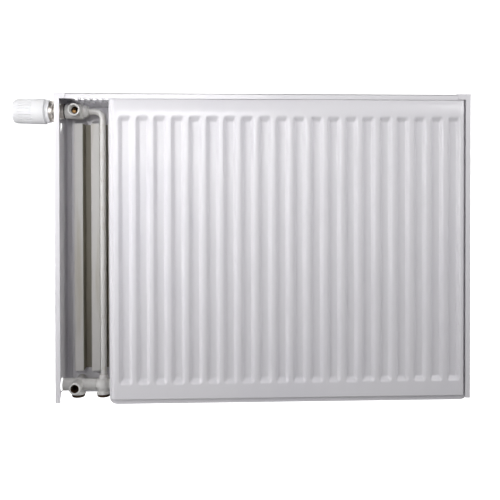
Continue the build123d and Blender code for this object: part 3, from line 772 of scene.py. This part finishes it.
def make_valve_housing():
    """A cross of two barrels: the neck and the pipe along x, the open port and stub along y."""
    low, high = box_mm("valve_housing")
    along_x, along_y = (0.0, PIPE_Y, VALVE_Z), (-TEE_X, 0.0, VALVE_Z)
    solids = [
        bar_solid(low[0], HOUSING_SHOULDER, 14.5, along_x, "x"),
        bar_solid(HOUSING_SHOULDER - 18.0, HOUSING_SHOULDER + 0.6, 14.9, along_x, "x"),
        bar_solid(HOUSING_SHOULDER - 8.0, high[0] + 0.3, 11.2, along_x, "x"),
        bar_solid(low[1] - 0.4, PIPE_Y, 12.0, along_y, "y"),
        bar_solid(PIPE_Y - 6.0, high[1], 11.8, along_y, "y"),
    ]
    # The port's mouth keeps the enamel; deeper in, the bores take the dark steel, painted shade.
    bores = [
        (*bore_solid(low[1], low[1] + PORT_DEPTH, 8.9, along_y, "y"), PIPE_ENAMEL),
        (*bore_solid(low[1] + PORT_DEPTH - 1.0, PIPE_Y + PORT_BACK, 7.2, along_y, "y", 0.2),
         BARE_STEEL_AND_SHADE),
        (*bore_solid(low[0], INSERT_DEPTH, 10.55, along_x, "x"), BARE_STEEL_AND_SHADE),
        (*bore_solid(high[0], high[0] - 9.0, PIPE_SOCKET, along_x, "x", 0.3), BARE_STEEL_AND_SHADE),
    ]
    fused("valve_housing_cast", solids, bores, "root", "pipe_enamel", ("valve_housing",))
    low, high = box_mm("compression_ring")
    profile = [(low[0], PIPE_SOCKET), (low[0], 9.0), (high[0] - 1.0, 8.6), (high[0], 7.0),
               (high[0], PIPE_SOCKET)]
    piece("compression_ring_turned", *spin(rounded(profile, 0.5), AROUND, along_x, "x"),
          "root", "pipe_enamel", ("compression_ring",))


def make_riser():
    """A tube carried along a line, a quarter circle and a line."""
    low = box_mm("riser_pipe")[0]
    angle = np.linspace(0.0, math.pi / 2, 25)
    turn_x = SUPPLY_X - PIPE_BEND + PIPE_BEND * np.sin(angle)
    turn_z = VALVE_Z - PIPE_BEND + PIPE_BEND * np.cos(angle)
    x = np.concatenate([[low[0]], turn_x, np.full(9, SUPPLY_X)])
    z = np.concatenate([[VALVE_Z], turn_z, np.linspace(VALVE_Z - PIPE_BEND - 20.0, low[2], 9)])
    lean = np.concatenate([[0.0], angle, np.full(9, math.pi / 2)])
    around = np.linspace(0.0, 2 * math.pi, 48, endpoint=False)[:, None]
    rings = []
    for radius, order in ((PIPE_RADIUS, 1), (PIPE_BORE, -1)):
        out = radius * np.cos(around)
        ring = np.stack([x + out * np.sin(lean), PIPE_Y + radius * np.sin(around) + 0 * x,
                         z + out * np.cos(lean)], axis=-1)
        rings.append(ring[:, ::order])
    grid = np.concatenate(rings, axis=1)
    points, faces = grid.reshape(-1, 3), quads(grid.shape[0], grid.shape[1], True, True)
    piece("riser_pipe_bent", points, faces, "root", "pipe_enamel", ("riser_pipe",))


def make_bottom_tees():
    """The return tee, the supply hub, the tube between them and a connection under each."""
    low, high = box_mm("return_tee")
    centre = (-TEE_X, PIPE_Y, PORT_Z)
    along_x, along_y = (0.0, PIPE_Y, PORT_Z), (-TEE_X, 0.0, PORT_Z)
    down = (-TEE_X, PIPE_Y, 0.0)
    neck = box_mm("return_nipple")[1][2]
    solids = [
        ball_solid(14.8, centre, 0.94),
        bar_solid(low[1] - 0.4, PIPE_Y, 11.7, along_y, "y"),
        bar_solid(PIPE_Y - 5.0, high[1], 11.5, along_y, "y"),
        bar_solid(low[0] - 0.4, -TEE_X, 12.5, along_x, "x"),
        bar_solid(-TEE_X, high[0] + 0.5, 11.4, along_x, "x"),
        bar_solid(neck, PORT_Z, 11.3, down, "z"),
    ]
    # The bores take the dark steel, painted shade for their insides.
    bores = [
        (*bore_solid(low[1], low[1] + PORT_DEPTH, 7.3, along_y, "y"), BARE_STEEL_AND_SHADE),
        (*bore_solid(low[1] + PORT_DEPTH - 1.0, PIPE_Y + PORT_BACK, 6.2, along_y, "y", 0.2),
         BARE_STEEL_AND_SHADE),
        (*bore_solid(low[0], low[0] + 15.0, TUBE_BORE, along_x, "x"), BARE_STEEL_AND_SHADE),
        (*bore_solid(neck, PORT_Z, TUBE_BORE, down, "z", 0.3), BARE_STEEL_AND_SHADE),
    ]
    fused("return_tee_cast", solids, bores, "root", "pipe_enamel", ("return_tee",))

    low, high = box_mm("supply_hub")
    centre = (SUPPLY_X, PIPE_Y, PORT_Z)
    down = (SUPPLY_X, PIPE_Y, 0.0)
    neck = box_mm("supply_nipple")[1][2]
    solids = [
        ball_solid(15.7, centre, 0.93),
        bar_solid(PORT_Z, high[2] + 0.3, 11.4, down, "z", 8.2),
        bar_solid(SUPPLY_X - 14.0, high[0], 11.0, along_x, "x"),
        bar_solid(neck, PORT_Z, 11.3, down, "z"),
    ]
    # The bores take the dark steel, painted shade for their insides.
    bores = [
        (*bore_solid(neck, PORT_Z, TUBE_BORE, down, "z", 0.3), BARE_STEEL_AND_SHADE),
        (*bore_solid(high[2], PORT_Z, PIPE_SOCKET, down, "z", 0.3), BARE_STEEL_AND_SHADE),
    ]
    fused("supply_hub_cast", solids, bores, "root", "pipe_enamel", ("supply_hub",))

    low, high = box_mm("cross_tube")
    piece("cross_tube_drawn", *tube_solid(low[0], high[0], 11.4, TUBE_BORE, along_x, "x"),
          "root", "pipe_enamel", ("cross_tube",))
    for name in ("return_nipple", "supply_nipple"):
        make_nipple(name)


COLLAR_HEIGHT = 5.6
THREAD_TEETH = 3


def make_nipple(name):
    """A collar that flares to a rim, and under it a bare male thread with a coned mouth."""
    low, high = box_mm(name)
    centre = ((low[0] + high[0]) / 2, (low[1] + high[1]) / 2, 0.0)
    rim = high[2] - COLLAR_HEIGHT
    collar = [(high[2], TUBE_BORE), (high[2], 11.2), (rim + 2.4, 12.4), (rim + 0.9, 14.4),
              (rim, 14.4), (rim - 0.4, 12.6), (rim - 0.4, TUBE_BORE)]
    piece(name + "_collar", *spin(rounded(collar, 0.5, 4), 72, centre, "z"),
          "root", "pipe_enamel", (name,))
    step = (rim - 0.4 - low[2] - 1.2) / THREAD_TEETH
    thread = [(rim - 0.2, TUBE_BORE), (rim - 0.2, 12.4)]
    for tooth in range(THREAD_TEETH):
        level = rim - 0.4 - step * tooth
        thread += [(level - 0.25 * step, 13.0), (level - 0.6 * step, 13.0), (level - step, 12.2)]
    thread += [(low[2], 11.6), (low[2], 10.6), (low[2] + 3.0, 7.6),
               (low[2] + 3.6, TUBE_BORE)]
    bare = piece(name + "_thread", *spin(rounded(thread, 0.25, 3), 72, centre, "z"),
                 "root", "pipe_enamel")
    # The thread is bare steel, darkened as painted shade.
    bare.data.materials[0] = BARE_STEEL_AND_SHADE


NECK_LENGTH = 31.0       # how far the neck stands out of the cover


def make_valve_insert():
    """Brass inside the housing, and a plated neck outside it that the union nut grips."""
    low, high = box_mm("valve_insert")
    face = low[0] + NECK_LENGTH
    centre = (0.0, PIPE_Y, VALVE_Z)
    inside = [(high[0], 2.05), (high[0], 9.6), (high[0] - 3.0, 10.4), (face + 10.9, 10.4),
              (face + 10.9, 2.05)]
    neck = [
        (face + 10.9, 6.5), (face + 10.9, 13.6), (face + 9.4, 14.5), (face + 1.6, 14.5),
        (face + 1.0, 13.6), (face - 17.0, 12.0), (face - 18.0, 14.2), (face - 19.0, 14.9),
        (low[0] + 1.0, 14.9), (low[0], 14.2), (low[0], 8.0), (face - 13.0, 8.0),
        (face - 13.0, 6.5),
    ]
    # The brass part takes the darkened brass, painted shade.
    piece("valve_insert_brass", *spin(rounded(inside, 0.3, 3), AROUND, centre, "x"),
          "root", "brass", ("valve_insert",))
    piece("valve_insert_neck", *spin(rounded(neck, 0.4, 3), 96, centre, "x"), "root", "nickel")


def make_right_tees():
    """A tee at each right-hand corner, its socket open towards the plug in it."""
    for node in ("top_right_tee", "bottom_right_tee"):
        low, high = box_mm(node)
        z = (low[2] + high[2]) / 2
        along_y, along_x = (TEE_X, 0.0, z), (0.0, PIPE_Y, z)
        solids = [
            bar_solid(low[1], high[1], 11.8, along_y, "y"),
            bar_solid(TEE_X, high[0] + 0.4, 12.6, along_x, "x"),
        ]
        # The socket's bore takes the dark steel, painted shade for its inside.
        bores = [(*bore_solid(high[0], TEE_X + 4.0, 9.35, along_x, "x"), BARE_STEEL_AND_SHADE)]
        fused(node + "_cast", solids, bores, "root", "pipe_enamel", (node,), 0.9, 4)


# ---------------------------------------------------------------- thermostatic head

GROOVES = 26
NOTCHES = 12
HEAD_CENTRE = (0.0, PIPE_Y, VALVE_Z)


def make_handle():
    """Hollow grip: a turned profile whose radius dips in long grooves round the outside."""
    low, high = box_mm("handle_shell")
    left, right = low[0], high[0]
    outer = [
        (left, 17.0), (left, 19.8), (left + 2.0, 22.0), (left + 6.5, 23.6),
        (left + 41.0, 25.1), (right - 0.8, 25.2), (right, 24.6), (right, 23.2),
    ]
    inner = [(left + 3.0, 21.0), (left + 3.0, 17.0)]
    profile = rounded(outer + [(right - 14.0, 23.0)] + inner, 1.6, 6)
    stretch = []
    for start, end in zip(profile, np.roll(profile, -1, axis=0)):
        parts = max(1, int(abs(end[0] - start[0]) / 1.2))
        share = np.arange(parts)[:, None] / parts
        stretch.append(start + (end - start) * share)
    profile = np.concatenate(stretch)

    def grip(angle, along, radius):
        """Cut narrow grooves in the outer wall, and faint ones on over the closed end."""
        wave = np.abs(((angle * GROOVES / (2 * math.pi)) % 1.0) - 0.5)
        groove = 1.0 - ramp((wave - 0.03) / 0.13)
        deep = ramp((along - left - 12.5) / 3.0) * ramp((left + 40.5 - along) / 3.0)
        faint = ramp((along - left - 1.0) / 3.0) * ramp((left + 44.0 - along) / 5.0)
        outside = np.asarray(radius > 21.2) & np.asarray(along < right - 10.0)
        return radius - np.where(outside, groove * (2.1 * deep + 0.4 * faint), 0.0)

    piece("handle_grip", *spin(profile, GROOVES * 14, HEAD_CENTRE, "x", shape=grip),
          "handle", "white_plastic", ("handle_shell",), sharp=50.0)
    low, high = box_mm("handle_cap")
    cap = rounded([
        (high[0], 0.0), (high[0], 16.95), (low[0] + 1.0, 16.95),
        (low[0] + 0.2, 12.0), (low[0], 0.0),
    ], 0.8, closed=False)
    piece("handle_cap_moulded", *spin(cap, 96, HEAD_CENTRE, "x", closed=False),
          "handle", "white_plastic", ("handle_cap",))


def make_head_base():
    """Turned base: a wide collar under the grip's rim, and a narrow neck inside the grip."""
    low, high = box_mm("head_base")
    right, rim = high[0], box_mm("handle_shell")[1][0]
    profile = [
        (right, 21.0), (right, 21.7), (right - 0.9, 22.6), (rim - 12.0, 22.6),
        (rim - 12.0, 16.0), (low[0], 16.0), (low[0], 14.2), (rim - 10.0, 14.2),
        (rim - 10.0, 9.5), (rim - 4.6, 9.5), (rim - 4.6, 16.4), (rim - 6.4, 16.4),
        (rim - 6.4, 13.2), (rim - 9.0, 13.2), (rim - 9.0, 21.0),
    ]
    piece("head_base_moulded", *spin(rounded(profile, 0.4, 3), 128, HEAD_CENTRE, "x"),
          "root", "white_plastic", ("head_base",))


def make_union_nut():
    """Castellated ring: the end of the turned profile is cut back at its notches."""
    low, high = box_mm("union_nut")
    left, right = low[0], high[0]
    profile = rounded([
        (right, 15.1), (right, 19.4), (right - 1.0, 20.4), (left + 1.4, 20.4),
        (left, 19.0), (left, 13.7), (left + 1.5, 13.7),
        (left + 1.5, 16.9), (left + 4.2, 16.9), (left + 4.2, 15.1),
    ], 0.5, 3)
    turns = NOTCHES * 20
    angle = np.linspace(0.0, 2 * math.pi, turns, endpoint=False)[:, None]
    wave = np.abs(((angle * NOTCHES / (2 * math.pi)) % 1.0) - 0.5)
    notch = 1.0 - ramp((wave - 0.14) / 0.05)
    along = np.minimum(profile[None, :, 0], right - 3.0 * notch * (profile[None, :, 1] > 17.0))
    radius = np.broadcast_to(profile[None, :, 1], along.shape)
    points = np.stack([along, radius * np.cos(angle), radius * np.sin(angle)], axis=-1)
    points = points.reshape(-1, 3) + HEAD_CENTRE
    piece("union_nut_castellated", points, quads(turns, len(profile), True, True),
          "coupling_nut", "nickel", ("union_nut",), sharp=40.0)


# ---------------------------------------------------------------- build

def paint_cad_nodes():
    """Each CAD node that still shows takes the finish of its material slot."""
    for part in frame["record"]["subparts"]:
        mesh = nodes[part["node"]].data
        mesh.materials.clear()
        mesh.materials.append(FINISHES[part["material_slot"]])


bpy.context.scene.view_settings.view_transform = "Standard"
make_camera()
make_studio()
paint_cad_nodes()
make_panels()
make_grille()
make_side_cover("side_cover_left", 1, 22.0)
make_side_cover("side_cover_right", -1, 27.0)
convector("front_convector", 1)
convector("rear_convector", -1)
make_valve_housing()
make_valve_insert()
make_riser()
make_bottom_tees()
make_right_tees()
make_handle()
make_head_base()
make_union_nut()
